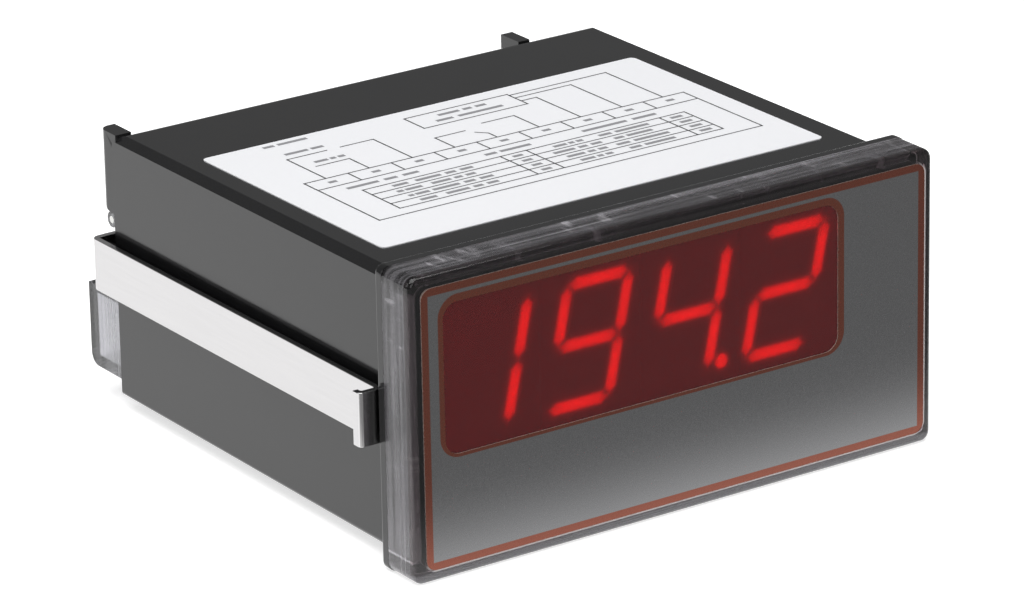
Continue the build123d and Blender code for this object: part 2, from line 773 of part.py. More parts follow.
# Clear cover over the terminals: a hollow hood with notches for the clips and two hinge arms
slope_top = hinge_y + knuckle_radius
arm_start = hinge_y + knuckle_radius + knuckle_gap
arm_end = arm_start + hinge_arm_thickness
notch_end = notch_half - cover_wall
hood_inner = cover_half - cover_wall
with BuildPart() as terminal_cover:
    with BuildSketch(Plane.YZ) as hood_side:
        with BuildLine():
            Polyline(
                (cover_start, hinge_z),
                (slope_top, hinge_z),
                (cover_end, cover_slope_z),
                (cover_end, cover_foot_z),
                (cover_start, cover_foot_z),
                close=True,
            )
        make_face()
        fillet(hood_side.vertices().group_by(Axis.Y)[0].sort_by(Axis.X)[-1], cover_corner)
    extrude(amount=cover_half, both=True)
    with BuildSketch(section(cover_start)):
        for side in (-1, 1):
            with Locations((side * (notch_half + cover_notch_depth), 0)):
                Rectangle(2 * cover_notch_depth, cover_notch_height, mode=Mode.ADD)
            with Locations((side * (notch_half + cover_notch_depth), cover_notch_height / 2 + hinge_z)):
                Rectangle(2 * cover_notch_depth, 2 * hinge_z, mode=Mode.ADD)
    extrude(amount=-cover_depth, mode=Mode.SUBTRACT)
    with BuildSketch(Plane.YZ) as hood_hollow:
        with BuildLine():
            Polyline(
                (cover_start, hinge_z),
                (slope_top, hinge_z),
                (cover_end, cover_slope_z),
                (cover_end, cover_foot_z),
                (cover_start, cover_foot_z),
                close=True,
            )
        make_face()
        offset(amount=-cover_wall, kind=Kind.INTERSECTION)
        hollow_foot = cover_foot_z + cover_wall
        hollow_top = hinge_z - knuckle_radius - cover_wall
        with Locations((cover_start, (hollow_top + hollow_foot) / 2)):
            Rectangle(2 * cover_wall, hollow_top - hollow_foot)
    extrude(amount=notch_end, both=True, mode=Mode.SUBTRACT)
    with BuildSketch(Plane.YZ):
        low_top = -cover_notch_height / 2 - cover_wall
        low_foot = cover_foot_z + cover_wall
        with Locations(((cover_start + cover_end - cover_wall) / 2, (low_top + low_foot) / 2)):
            Rectangle(cover_end - cover_wall - cover_start, low_top - low_foot)
    extrude(amount=hood_inner, both=True, mode=Mode.SUBTRACT)
    with Locations((0, cover_start + wire_slot_depth / 2, cover_foot_z + cover_wall / 2)):
        Box(wire_slot_width, wire_slot_depth, cover_wall, mode=Mode.SUBTRACT)
    for side in (-1, 1):
        with BuildSketch(Plane.YZ.offset(side * (cover_half + knuckle_inner) / 2)):
            with Locations((hinge_y, hinge_z)):
                Circle(knuckle_radius)
        extrude(amount=knuckle_width / 2, both=True)
        arm_outer = knuckle_inner + hinge_arm
        with BuildSketch(Plane.XY.offset(hinge_z - knuckle_radius)):
            with Locations((side * (arm_outer + notch_half) / 2, (arm_start + arm_end) / 2)):
                Rectangle(arm_outer - notch_half, hinge_arm_thickness)
            with Locations((side * (arm_outer - hinge_arm / 2), (hinge_y + arm_end) / 2)):
                Rectangle(hinge_arm, arm_end - hinge_y)
        extrude(amount=2 * knuckle_radius)
        with BuildSketch(Plane.YZ.offset(side * (cover_half + knuckle_inner) / 2)):
            with Locations((hinge_y, hinge_z)):
                Circle(pin_radius + pin_clearance)
        extrude(amount=knuckle_width, both=True, mode=Mode.SUBTRACT)
save(terminal_cover, "terminal_cover")

# Hinge pins, pressed in the case's hinge lugs and free in the cover's knuckles
with BuildPart() as cover_pins:
    for side in (-1, 1):
        pin_inner = hinge_lug_outer - hinge_lug_width
        with BuildSketch(Plane.YZ.offset(side * (cover_half + pin_inner) / 2)):
            with Locations((hinge_y, hinge_z)):
                Circle(pin_radius)
        extrude(amount=(cover_half - pin_inner) / 2, both=True)
save(cover_pins, "cover_pins")

# Clamping clips: a strip with a hemmed foot at the panel and a leg behind the case
foot_y = clip_foot_gap
hem_outer = clip_outer + clip_lip
leg_inner = clip_outer - clip_leg
for side, name in ((-1, "left"), (1, "right")):
    with BuildPart() as clip:
        with BuildSketch(Plane.XY.offset(-clip_width / 2)) as clip_plan:
            with BuildLine():
                Polyline(
                    (side * hem_outer, foot_y),
                    (side * hem_outer, foot_y + clip_hem),
                    (side * (hem_outer - clip_thickness), foot_y + clip_hem),
                    (side * (hem_outer - clip_thickness), foot_y + clip_thickness),
                    (side * clip_outer, foot_y + clip_thickness),
                    (side * clip_outer, clip_rear),
                    (side * leg_inner, clip_rear),
                    (side * leg_inner, clip_rear - clip_thickness),
                    (side * clip_inner, clip_rear - clip_thickness),
                    (side * clip_inner, foot_y),
                    close=True,
                )
            make_face()
            bends = [
                (side * hem_outer, foot_y, clip_foot_bend),
                (side * clip_outer, clip_rear, clip_bend),
                (side * clip_inner, foot_y, clip_bend),
                (side * (hem_outer - clip_thickness), foot_y + clip_thickness, clip_inner_bend),
                (side * clip_outer, foot_y + clip_thickness, clip_inner_bend),
                (side * clip_inner, clip_rear - clip_thickness, clip_inner_bend),
            ]
            for bend_x, bend_y, bend_radius in bends:
                fillet(clip_plan.vertices().sort_by_distance((bend_x, bend_y, 0))[0], bend_radius)
        extrude(amount=clip_width)
        with Locations(Plane((side * clip_screw_x, clip_rear, 0), z_dir=(0, 1, 0))):
            Hole(clip_screw_radius + clip_hole_clearance, depth=clip_thickness)
    save(clip, f"{name}_clip")

    with BuildPart() as clip_screw:
        with BuildSketch(section(clip_rear).shift_origin((side * clip_screw_x, clip_rear, 0))):
            Circle(clip_head_radius)
        extrude(amount=-clip_head)
        with BuildSketch(section(clip_rear + clip_head - clip_slot).shift_origin(
            (side * clip_screw_x, clip_rear + clip_head - clip_slot, 0)
        )):
            Rectangle(2 * clip_head_radius, clip_slot)
        extrude(amount=-clip_slot, mode=Mode.SUBTRACT)
        with BuildSketch(section(clip_rear).shift_origin((side * clip_screw_x, clip_rear, 0))):
            Circle(clip_screw_radius)
        extrude(amount=clip_screw_length)
    save(clip_screw, f"{name}_clip_screw")

# Sticker on the top of the case, which slopes with the draft of the moulding
label_z = case_top - label_start * tan(radians(case_draft))
label_plane = Plane(
    (0, label_start, label_z),
    x_dir=(1, 0, 0),
    z_dir=(0, sin(radians(case_draft)), cos(radians(case_draft))),
)
with BuildPart() as top_label:
    with BuildSketch(label_plane):
        with Locations((0, label_length / 2)):
            RectangleRounded(label_width, label_length, label_corner)
    extrude(amount=label_thickness)
save(top_label, "top_label")
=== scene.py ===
"""Studio scene of a digital panel meter with a red LED reading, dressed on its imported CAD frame."""

import logging
import math
from dataclasses import dataclass, field
from enum import Enum

import bmesh
import bpy
from mathutils import Matrix, Vector


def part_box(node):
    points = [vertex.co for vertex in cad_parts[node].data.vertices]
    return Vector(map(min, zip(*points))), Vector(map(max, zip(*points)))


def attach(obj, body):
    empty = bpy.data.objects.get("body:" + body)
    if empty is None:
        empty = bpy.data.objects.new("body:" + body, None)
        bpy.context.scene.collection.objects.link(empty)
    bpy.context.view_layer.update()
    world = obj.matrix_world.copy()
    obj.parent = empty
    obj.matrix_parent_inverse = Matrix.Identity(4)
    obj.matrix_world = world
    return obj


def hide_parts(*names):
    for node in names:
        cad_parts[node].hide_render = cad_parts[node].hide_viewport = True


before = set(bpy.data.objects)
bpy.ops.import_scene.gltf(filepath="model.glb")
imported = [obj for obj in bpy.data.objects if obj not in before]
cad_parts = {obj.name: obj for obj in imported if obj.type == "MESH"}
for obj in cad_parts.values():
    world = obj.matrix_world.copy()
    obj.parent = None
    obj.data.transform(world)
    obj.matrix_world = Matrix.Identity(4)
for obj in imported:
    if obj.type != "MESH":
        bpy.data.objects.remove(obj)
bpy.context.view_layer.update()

MM = 0.001
TINY = 1e-6
IMAGE_WIDTH = 1024
SENSOR_MM = 36.0
NOISE_LOW = 0.3
NOISE_HIGH = 0.7
LOG = logging.getLogger("panel_meter")

Pair = tuple[float, float]
Triple = tuple[float, float, float]
Stroke = tuple[float, float, float, float]
Colour = Triple
Bar = Triple


def shade(colour: Colour, factor: float) -> Colour:
    """A colour made darker or lighter by a factor."""
    return tuple(c * factor for c in colour)


def grown(box: tuple[Vector, Vector], low_by: Pair, high_by: Pair) -> tuple[Vector, Vector]:
    """A box with its corners moved across and up.

    Args:
        box: lowest and highest corner.
        low_by: move of the lowest corner along X and Z, in metres.
        high_by: move of the highest corner along X and Z, in metres.

    Returns:
        The new corners.
    """
    low, high = box
    return low + Vector((low_by[0], 0.0, low_by[1])), high + Vector((high_by[0], 0.0, high_by[1]))


def middle_and_half(low: Vector, high: Vector) -> tuple[Pair, Pair]:
    """Centre and half size of a box, across and up."""
    centre, half = (low + high) / 2, (high - low) / 2
    return (centre.x, centre.z), (half.x, half.z)


def placed(name: str, data: bpy.types.ID) -> bpy.types.Object:
    """Puts a mesh, lamp or camera into the scene.

    Args:
        name: name of the object.
        data: what it shows.

    Returns:
        The new object.
    """
    item = bpy.data.objects.new(name, data)
    bpy.context.scene.collection.objects.link(item)
    return item


class Segment(Enum):
    """Places of the seven bars and the point of a digit, as (across, up, lies flat) in half units."""

    A = (0.0, 1.0, True)
    B = (1.0, 0.5, False)
    C = (1.0, -0.5, False)
    D = (0.0, -1.0, True)
    E = (-1.0, -0.5, False)
    F = (-1.0, 0.5, False)
    G = (0.0, 0.0, True)
    POINT = (0.0, -1.0, None)


class Mesher:
    """A bmesh that becomes one finished piece at the origin."""

    def __init__(self, name: str) -> None:
        """Starts an empty mesh for a named piece."""
        self.name = name
        self.bm = bmesh.new()

    def quad(self, place: Matrix) -> list[bmesh.types.BMVert]:
        """Adds a unit square, moved and scaled by a matrix, and returns its corners."""
        return bmesh.ops.create_grid(self.bm, x_segments=1, y_segments=1, size=0.5, matrix=place)["verts"]

    def block(self, low: Vector, high: Vector) -> None:
        """Adds a box between two corners.

        Args:
            low: lowest corner in metres.
            high: highest corner in metres.
        """
        place = Matrix.Translation((low + high) / 2) @ Matrix.Diagonal((*(high - low), 1.0))
        bmesh.ops.create_cube(self.bm, size=1.0, matrix=place)

    def edges_along_y(self) -> list[bmesh.types.BMEdge]:
        """The edges that run from front to back."""
        return [e for e in self.bm.edges if abs(e.verts[0].co.y - e.verts[1].co.y) > TINY]

    def end_face(self, front: bool) -> bmesh.types.BMFace:
        """The foremost face, or else the rearmost."""
        pick = min if front else max
        return pick(self.bm.faces, key=lambda f: f.calc_center_median().y)

    def step(self, face: bmesh.types.BMFace) -> tuple[bmesh.types.BMFace, list[bmesh.types.BMVert]]:
        """Extrudes a face where it is, ready to be moved.

        Args:
            face: flat face, which is taken away.

        Returns:
            The new face and its corners.
        """
        made = bmesh.ops.extrude_face_region(self.bm, geom=[face])["geom"]
        if face.is_valid:
            bmesh.ops.delete(self.bm, geom=[face], context="FACES_ONLY")
        new = next(item for item in made if isinstance(item, bmesh.types.BMFace))
        return new, list(new.verts)

    def round_edges(self, edges: list[bmesh.types.BMEdge], width: float, segments: int) -> None:
        """Rounds edges with a bevel of true circular profile.

        Args:
            edges: the edges to round.
            width: radius in metres.
            segments: number of facets round the bend.
        """
        bmesh.ops.bevel(
            self.bm, geom=edges, offset=width, offset_type="OFFSET", affect="EDGES",
            segments=segments, profile=0.5, material=-1, clamp_overlap=True,
        )

    def finish(self, material: bpy.types.Material, body: str,
               smooth_angle: float = 35.0) -> bpy.types.Object:
        """Turns the mesh into an object that rides on a body.

        Args:
            material: finish of the whole piece.
            body: CAD body that carries it.
            smooth_angle: edges sharper than this stay crisp, in degrees.

        Returns:
            The new object.
        """
        mesh = bpy.data.meshes.new(self.name)
        self.bm.to_mesh(mesh)
        self.bm.free()
        mesh.materials.append(material)
        for polygon in mesh.polygons:
            polygon.use_smooth = True
        mesh.set_sharp_from_angle(angle=math.radians(smooth_angle))
        piece = placed(self.name, mesh)
        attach(piece, body)
        LOG.info("piece %s: %d faces on %s", self.name, len(mesh.polygons), body)
        return piece


class Shader:
    """Node tree of one procedural material."""

    def __init__(self, name: str) -> None:
        """Starts a material with its Principled shader.

        Args:
            name: name of the material.
        """
        self.material = bpy.data.materials.new(name)
        self.material.use_nodes = True
        self.tree = self.material.node_tree
        self.bsdf = self.tree.nodes["Principled BSDF"]
        self.coords = self.tree.nodes.new("ShaderNodeTexCoord").outputs["Object"]

    def set(self, **values: object) -> None:
        """Sets constant sockets of the shader; underscores in a name stand for spaces."""
        for name, value in values.items():
            self.bsdf.inputs[name.replace("_", " ")].default_value = value

    def link(self, source: bpy.types.NodeSocket, socket: str) -> None:
        """Links a socket to an input of the shader."""
        self.tree.links.new(source, self.bsdf.inputs[socket])

    def maths(self, operation: str, a: object, b: object = None,
              clamp: bool = False) -> bpy.types.NodeSocket:
        """A Math node.

        Args:
            operation: Blender's name of the operation.
            a: socket or number.
            b: socket or number, where the operation takes two.
            clamp: keeps the result from 0 to 1.

        Returns:
            The result socket.
        """
        node = self.tree.nodes.new("ShaderNodeMath")
        node.operation = operation
        node.use_clamp = clamp
        for value, socket in zip((a, b), node.inputs):
            if isinstance(value, bpy.types.NodeSocket):
                self.tree.links.new(value, socket)
            elif value is not None:
                socket.default_value = value
        return node.outputs[0]

    def noise(self, scale: float, detail: float = 3.0,
              stretch: Triple = (1.0, 1.0, 1.0)) -> bpy.types.NodeSocket:
        """Noise in Object coordinates.

        Args:
            scale: features per metre.
            detail: octaves.
            stretch: scale of each axis before the noise.

        Returns:
            The noise factor.
        """
        mapping = self.tree.nodes.new("ShaderNodeMapping")
        mapping.inputs["Scale"].default_value = stretch
        self.tree.links.new(self.coords, mapping.inputs["Vector"])
        node = self.tree.nodes.new("ShaderNodeTexNoise")
        node.inputs["Scale"].default_value = scale
        node.inputs["Detail"].default_value = detail
        self.tree.links.new(mapping.outputs[0], node.inputs["Vector"])
        return node.outputs["Fac"]

    def remap(self, value: bpy.types.NodeSocket, low: float, high: float, to_low: float = 0.0,
              to_high: float = 1.0, smooth: bool = False) -> bpy.types.NodeSocket:
        """Maps a range to another.

        Args:
            value: socket to map.
            low: input that gives to_low.
            high: input that gives to_high.
            to_low: output at low.
            to_high: output at high.
            smooth: eases both ends.

        Returns:
            The mapped socket.
        """
        node = self.tree.nodes.new("ShaderNodeMapRange")
        node.interpolation_type = "SMOOTHSTEP" if smooth else "LINEAR"
        self.tree.links.new(value, node.inputs["Value"])
        limits = {"From Min": low, "From Max": high, "To Min": to_low, "To Max": to_high}
        for name, number in limits.items():
            node.inputs[name].default_value = number
        return node.outputs["Result"]

    def mix(self, factor: bpy.types.NodeSocket, first: object, second: object) -> bpy.types.NodeSocket:
        """Mixes two colours.

        Args:
            factor: 0 gives the first, 1 the second.
            first: colour or socket.
            second: colour or socket.

        Returns:
            The mixed colour.
        """
        node = self.tree.nodes.new("ShaderNodeMix")
        node.data_type = "RGBA"
        self.tree.links.new(factor, node.inputs["Factor"])
        colours = [socket for socket in node.inputs if socket.type == "RGBA"]
        for value, socket in zip((first, second), colours):
            if isinstance(value, bpy.types.NodeSocket):
                self.tree.links.new(value, socket)
            else:
                socket.default_value = (*value, 1.0)
        return [socket for socket in node.outputs if socket.type == "RGBA"][0]

    def bump(self, height: bpy.types.NodeSocket, strength: float, depth_mm: float) -> None:
        """Adds a bump.

        Args:
            height: socket of the height.
            strength: share of the bump that shows.
            depth_mm: depth in millimetres.
        """
        node = self.tree.nodes.new("ShaderNodeBump")
        node.inputs["Strength"].default_value = strength
        node.inputs["Distance"].default_value = depth_mm * MM
        self.tree.links.new(height, node.inputs["Height"])
        self.link(node.outputs["Normal"], "Normal")

    def split(self, vector: bpy.types.NodeSocket, name: str) -> bpy.types.NodeSocket:
        """Takes a vector apart.

        Args:
            vector: socket of the vector.
            name: X, Y or Z.

        Returns:
            The part along that axis.
        """
        node = self.tree.nodes.new("ShaderNodeSeparateXYZ")
        self.tree.links.new(vector, node.inputs[0])
        return node.outputs[name]

    def axis(self, name: str) -> bpy.types.NodeSocket:
        """One axis of the Object coordinates."""
        return self.split(self.coords, name)

    def facing(self, name: str) -> bpy.types.NodeSocket:
        """One axis of the surface's true normal."""
        return self.split(self.tree.nodes.new("ShaderNodeNewGeometry").outputs["True Normal"], name)

    def vary(self, noise: bpy.types.NodeSocket, low: float, high: float) -> bpy.types.NodeSocket:
        """Spreads a noise over a range of values."""
        return self.remap(noise, NOISE_LOW, NOISE_HIGH, low, high)

    def frame_distance(self, centre: Pair, half: Pair, radius: float) -> bpy.types.NodeSocket:
        """Signed distance from a rounded rectangle that lies across the front, negative inside.

        Args:
            centre: X and Z of its centre in metres.
            half: half width and half height in metres.
            radius: corner radius in metres.

        Returns:
            The distance in metres.
        """
        outside = []
        for name, middle, reach in (("X", centre[0], half[0]), ("Z", centre[1], half[1])):
            away = self.maths("ABSOLUTE", self.maths("SUBTRACT", self.axis(name), middle))
            outside.append(self.maths("SUBTRACT", away, reach - radius))
        squares = [self.maths("POWER", self.maths("MAXIMUM", side, 0.0), 2.0) for side in outside]
        corner = self.maths("SQRT", self.maths("ADD", *squares))
        inside = self.maths("MINIMUM", self.maths("MAXIMUM", *outside), 0.0)
        return self.maths("SUBTRACT", self.maths("ADD", corner, inside), radius)


@dataclass(frozen=True)
class GlossMoulding:
    """Smooth injection-moulded plastic with a faint ripple and fine handling marks."""

    name: str
    colour: Colour
    roughness: float = 0.14
    rough_shares: Pair = (0.8, 1.35)
    bright: float = 1.25
    bloom: float = 0.002
    ripple: Pair = (0.05, 0.05)
    ripple_scale: float = 160.0
    cloud_scale: float = 90.0
    mark_scale: float = 900.0
    mark_range: Pair = (0.35, 0.75)
    mark_stretch: Triple = (1.0, 0.25, 1.0)

    def build(self) -> bpy.types.Material:
        """Makes the material.

        Returns:
            The finished material.
        """
        shader = Shader(self.name)
        cloud = shader.noise(self.cloud_scale, 4.0)
        lighter = tuple(c * self.bright + self.bloom for c in self.colour)
        shader.link(shader.mix(cloud, self.colour, lighter), "Base Color")
        marks = shader.noise(self.mark_scale, 5.0, self.mark_stretch)
        rough = [self.roughness * share for share in self.rough_shares]
        shader.link(shader.remap(marks, *self.mark_range, *rough), "Roughness")
        shader.bump(shader.noise(self.ripple_scale, 2.0), *self.ripple)
        return shader.material


@dataclass(frozen=True)
class GrainMoulding:
    """Matt moulded plastic, ceramic or epoxy with a fine grain."""

    name: str
    colour: Colour
    roughness: float = 0.55
    grain: float = 1800.0
    dark: float = 0.78
    spread: float = 0.08
    relief: Pair = (0.25, 0.03)

    def build(self) -> bpy.types.Material:
        """Makes the material.

        Returns:
            The finished material.
        """
        shader = Shader(self.name)
        speckle = shader.noise(self.grain, 4.0)
        shader.link(shader.mix(speckle, shade(self.colour, self.dark), self.colour), "Base Color")
        rough = shader.vary(speckle, self.roughness - self.spread, self.roughness + self.spread)
        shader.link(rough, "Roughness")
        shader.bump(speckle, *self.relief)
        return shader.material


@dataclass(frozen=True)
class ClearMoulding:
    """Clear plastic, polished in front and hazy on its sides, with draw lines round them and scuffs, and
    where set painted shade on its front rim.

    Attributes:
        side_facing, under_facing: tilts of the surface between which a side or an underside sets in.
        clear_to: how far back the rim stays clear and takes the rim colour, which on the bezel is painted
            shade.
        sill: height below which the lower edge is hazy.
        lip_centre, lip_half: the recess along whose right and lower edges a highlight is painted.
    """

    name: str
    tint: Colour
    roughness: float = 0.03
    side_roughness: float = 0.2
    side_haze: float = 0.045
    under_haze: float = 0.14
    scuff_haze: float = 0.4
    dull: float = 0.8
    side_facing: Pair = (0.3, 0.8)
    under_facing: Pair = (-0.25, -0.7)
    clear_to: float = -1.0
    blend: float = 0.3 * MM
    draw: Triple = (0.012, 1.0, 0.012)
    draw_scale: float = 1300.0
    draw_range: Pair = (0.42, 0.62)
    draw_gain: float = 4.0
    draw_relief: Pair = (0.08, 0.08)
    rough_shares: Pair = (0.5, 1.5)
    cloud_scale: float = 120.0
    cloud_shares: Pair = (0.6, 1.4)
    scuff_scale: float = 420.0
    scuff_range: Pair = (0.60, 0.72)
    scuff_stretch: Triple = (1.0, 0.3, 1.0)
    # Colour of the rim in front of clear_to; the bezel's dark value is painted shade, not a tint of the
    # plastic.
    rim: Colour = (0.9, 0.9, 0.9)
    sill: float = -1.0
    sill_haze: float = 0.2
    # Pale colour and haze of the painted highlight round the recess, which is left out while the haze is 0.
    lip: Colour = (0.9, 0.85, 0.85)
    lip_highlight_haze: float = 0.0
    lip_width: float = 0.25 * MM
    lip_fade: float = 0.1 * MM
    lip_reach: float = 1.5 * MM
    lip_centre: Pair = (0.0, 0.0)
    lip_half: Pair = (0.0, 0.0)
    lip_corner: float = 1.8 * MM
    ior: float = 1.5

    def lip_highlight_mask(self, shader: Shader) -> bpy.types.NodeSocket:
        """Painted highlight along the right and lower edges of the recess, where the lamps would catch them.

        Args:
            shader: the material's node tree.

        Returns:
            1 on the painted highlight, 0 elsewhere.
        """
        (x, z), (half_x, half_z) = self.lip_centre, self.lip_half
        outline = shader.frame_distance(self.lip_centre, self.lip_half, self.lip_corner)
        away = shader.maths("ABSOLUTE", outline)
        near = shader.remap(away, self.lip_width, self.lip_width + self.lip_fade, 1.0, 0.0)
        right = shader.remap(shader.axis("X"), x + half_x - self.lip_reach, x + half_x)
        lower = shader.remap(shader.axis("Z"), z - half_z, z - half_z + self.lip_reach, 1.0, 0.0)
        return shader.maths("MULTIPLY", near, shader.maths("MAXIMUM", right, lower))

    def build(self) -> bpy.types.Material:
        """Makes the material.

        Returns:
            The finished material.
        """
        shader = Shader(self.name)
        ahead = shader.maths("ABSOLUTE", shader.facing("Y"))
        side = shader.remap(ahead, *self.side_facing, 1.0, 0.0, smooth=True)
        under = shader.remap(shader.facing("Z"), *self.under_facing, 0.0, self.under_haze, smooth=True)
        behind = shader.remap(shader.axis("Y"), self.clear_to, self.clear_to + self.blend, smooth=True)
        sill_low, sill_high = self.sill - self.blend, self.sill + self.blend
        sill = shader.remap(shader.axis("Z"), sill_low, sill_high, 1.0, 0.0, smooth=True)
        lines = shader.noise(self.draw_scale, 4.0, self.draw)
        cloud = shader.noise(self.cloud_scale, 3.0)
        scuff = shader.remap(shader.noise(self.scuff_scale, 8.0, self.scuff_stretch), *self.scuff_range)
        # Painted shade: in front of clear_to the rim colour takes over, except on the sill.
        body = shader.maths("MAXIMUM", behind, sill)
        colour = shader.mix(body, self.rim, shader.mix(cloud, shade(self.tint, self.dull), self.tint))
        hazy = shader.maths("MULTIPLY", side, behind)
        rough = shader.remap(hazy, 0.0, 1.0, self.roughness, self.side_roughness)
        shader.link(shader.maths("MULTIPLY", rough, shader.vary(lines, *self.rough_shares)), "Roughness")
        streak = shader.remap(lines, *self.draw_range, 0.0, self.draw_gain)
        streak = shader.maths("MULTIPLY", streak, shader.vary(cloud, *self.cloud_shares))
        haze = shader.maths("MULTIPLY", streak, self.side_haze)
        haze = shader.maths("ADD", haze, shader.maths("MULTIPLY", scuff, self.scuff_haze))
        haze = shader.maths("MULTIPLY", haze, hazy)
        lower = shader.maths("MAXIMUM", under, shader.maths("MULTIPLY", sill, self.sill_haze))
        haze = shader.maths("ADD", haze, lower)
        # Painted highlight: pale colour and haze on the right and lower edges of the recess, in front of
        # clear_to.
        if self.lip_highlight_haze:
            lip = shader.maths("MULTIPLY", self.lip_highlight_mask(shader), shader.maths("SUBTRACT", 1.0, behind))
            colour = shader.mix(lip, colour, self.lip)
            haze = shader.maths("ADD", haze, shader.maths("MULTIPLY", lip, self.lip_highlight_haze))
        shader.link(colour, "Base Color")
        shader.link(shader.maths("SUBTRACT", 1.0, haze, clamp=True), "Transmission Weight")
        shader.set(IOR=self.ior)
        shader.bump(lines, *self.draw_relief)
        return shader.material


@dataclass(frozen=True)
class FasciaPrint:
    """Satin silver-grey film with a line round its edge, another round the window, and pale cut edges."""

    film_centre: Pair
    film_half: Pair
    line_centre: Pair
    line_half: Pair
    line_corner: float
    border: float = 1.2 * MM
    soft: float = 0.04 * MM
    grain_scale: float = 2600.0
    grain_relief: Pair = (0.08, 0.02)
    cut_facing: Pair = (0.3, 0.6)
    dull: float = 0.86
    satin_metal: float = 0.93
    cut_metal: float = 0.2
    roughness: Pair = (0.23, 0.30)
    grey: Colour = (0.235, 0.235, 0.24)
    brown: Colour = (0.232, 0.081, 0.057)
    cut: Colour = (0.45, 0.36, 0.32)

    def build(self) -> bpy.types.Material:
        """Makes the material.

        Returns:
            The finished material.
        """
        shader = Shader("fascia_print")
        edge = shader.frame_distance(self.film_centre, self.film_half, self.border)
        rim = shader.remap(edge, -self.border - self.soft, -self.border + self.soft, smooth=True)
        window = shader.frame_distance(self.line_centre, self.line_half, self.line_corner)
        line = shader.remap(window, -self.soft, self.soft, 1.0, 0.0, smooth=True)
        printed = shader.maths("MAXIMUM", rim, line)
        grain = shader.noise(self.grain_scale)
        satin = shader.mix(grain, shade(self.grey, self.dull), self.grey)
        cut = shader.remap(shader.maths("ABSOLUTE", shader.facing("Y")), *self.cut_facing, 1.0, 0.0)
        shader.link(shader.mix(cut, shader.mix(printed, satin, self.brown), self.cut), "Base Color")
        shader.link(shader.remap(cut, 0.0, 1.0, self.satin_metal, self.cut_metal), "Metallic")
        shader.link(shader.vary(grain, *self.roughness), "Roughness")
        shader.bump(grain, *self.grain_relief)
        return shader.material


@dataclass(frozen=True)
class RedPane:
    """Translucent red filter pane."""

    tint: Colour = (0.50, 0.022, 0.028)
    dark: float = 0.92
    cloud_scale: float = 250.0
    roughness: Pair = (0.15, 0.20)
    clearness: float = 0.85
    ior: float = 1.45

    def build(self) -> bpy.types.Material:
        """Makes the material.

        Returns:
            The finished material.
        """
        shader = Shader("red_pane")
        cloud = shader.noise(self.cloud_scale)
        shader.link(shader.mix(cloud, shade(self.tint, self.dark), self.tint), "Base Color")
        shader.link(shader.vary(cloud, *self.roughness), "Roughness")
        shader.set(Transmission_Weight=self.clearness, IOR=self.ior)
        return shader.material


@dataclass(frozen=True)
class Glow:
    """Lit light guide: brightest along its middle, with a soft halo that fades to nothing."""

    colour: Colour = (1.0, 0.02, 0.015)
    hot: Colour = (1.0, 0.05, 0.03)
    guide: Colour = (0.3, 0.01, 0.01)
    guide_roughness: float = 0.5
    strength: float = 6.4
    faint: float = 0.6
    hot_from: float = 0.6
    solid_from: float = 0.7

    def build(self) -> bpy.types.Material:
        """Makes the material.

        Returns:
            The finished material.
        """
        shader = Shader("segment_glow")
        node = shader.tree.nodes.new("ShaderNodeAttribute")
        node.attribute_name = "glow"
        level = node.outputs["Fac"]
        heat = shader.remap(level, self.hot_from, 1.0)
        shader.link(shader.mix(heat, self.colour, self.hot), "Emission Color")
        shader.link(shader.remap(level, 0.0, 1.0, self.faint, self.strength), "Emission Strength")
        shader.link(shader.remap(level, 0.0, self.solid_from), "Alpha")
        shader.set(Base_Color=(*self.guide, 1.0), Roughness=self.guide_roughness)
        return shader.material


@dataclass(frozen=True)
class PlatedSteel:
    """Plated strip or screw metal with fine drawing lines along one axis, whose faces that look to the front
    can be darkened as painted shade.
    """

    name: str
    colour: Colour
    roughness: float = 0.28
    lines: Triple = (1.0, 0.04, 1.0)
    line_scale: float = 2200.0
    line_relief: Pair = (0.06, 0.02)
    rough_shares: Pair = (0.85, 1.2)
    dark: float = 0.9
    # Facing range and darkening factor of the painted shade on faces that look to the front.
    front_facing: Pair = (-0.95, -0.6)
    painted_front_shade: float = 1.0

    def build(self) -> bpy.types.Material:
        """Makes the material.

        Returns:
            The finished material.
        """
        shader = Shader(self.name)
        drawn = shader.noise(self.line_scale, 3.0, self.lines)
        plate = shader.mix(drawn, shade(self.colour, self.dark), self.colour)
        # Painted shade: faces that look to the front are darkened, standing in for the dark reflection on
        # the clip's foot.
        front = shader.remap(shader.facing("Y"), *self.front_facing, 1.0, 0.0, smooth=True)
        shader.link(shader.mix(front, plate, shade(self.colour, self.painted_front_shade)), "Base Color")
        rough = [self.roughness * share for share in self.rough_shares]
        shader.link(shader.vary(drawn, *rough), "Roughness")
        shader.set(Metallic=1.0)
        shader.bump(drawn, *self.line_relief)
        return shader.material


@dataclass(frozen=True)
class Paper(GrainMoulding):
    """Coated paper of the sticker, or its ink, whose fibre takes the place of the grain."""

    roughness: float = 0.5
    grain: float = 1400.0
    dark: float = 0.975
    spread: float = 0.06
    relief: Pair = (0.05, 0.01)


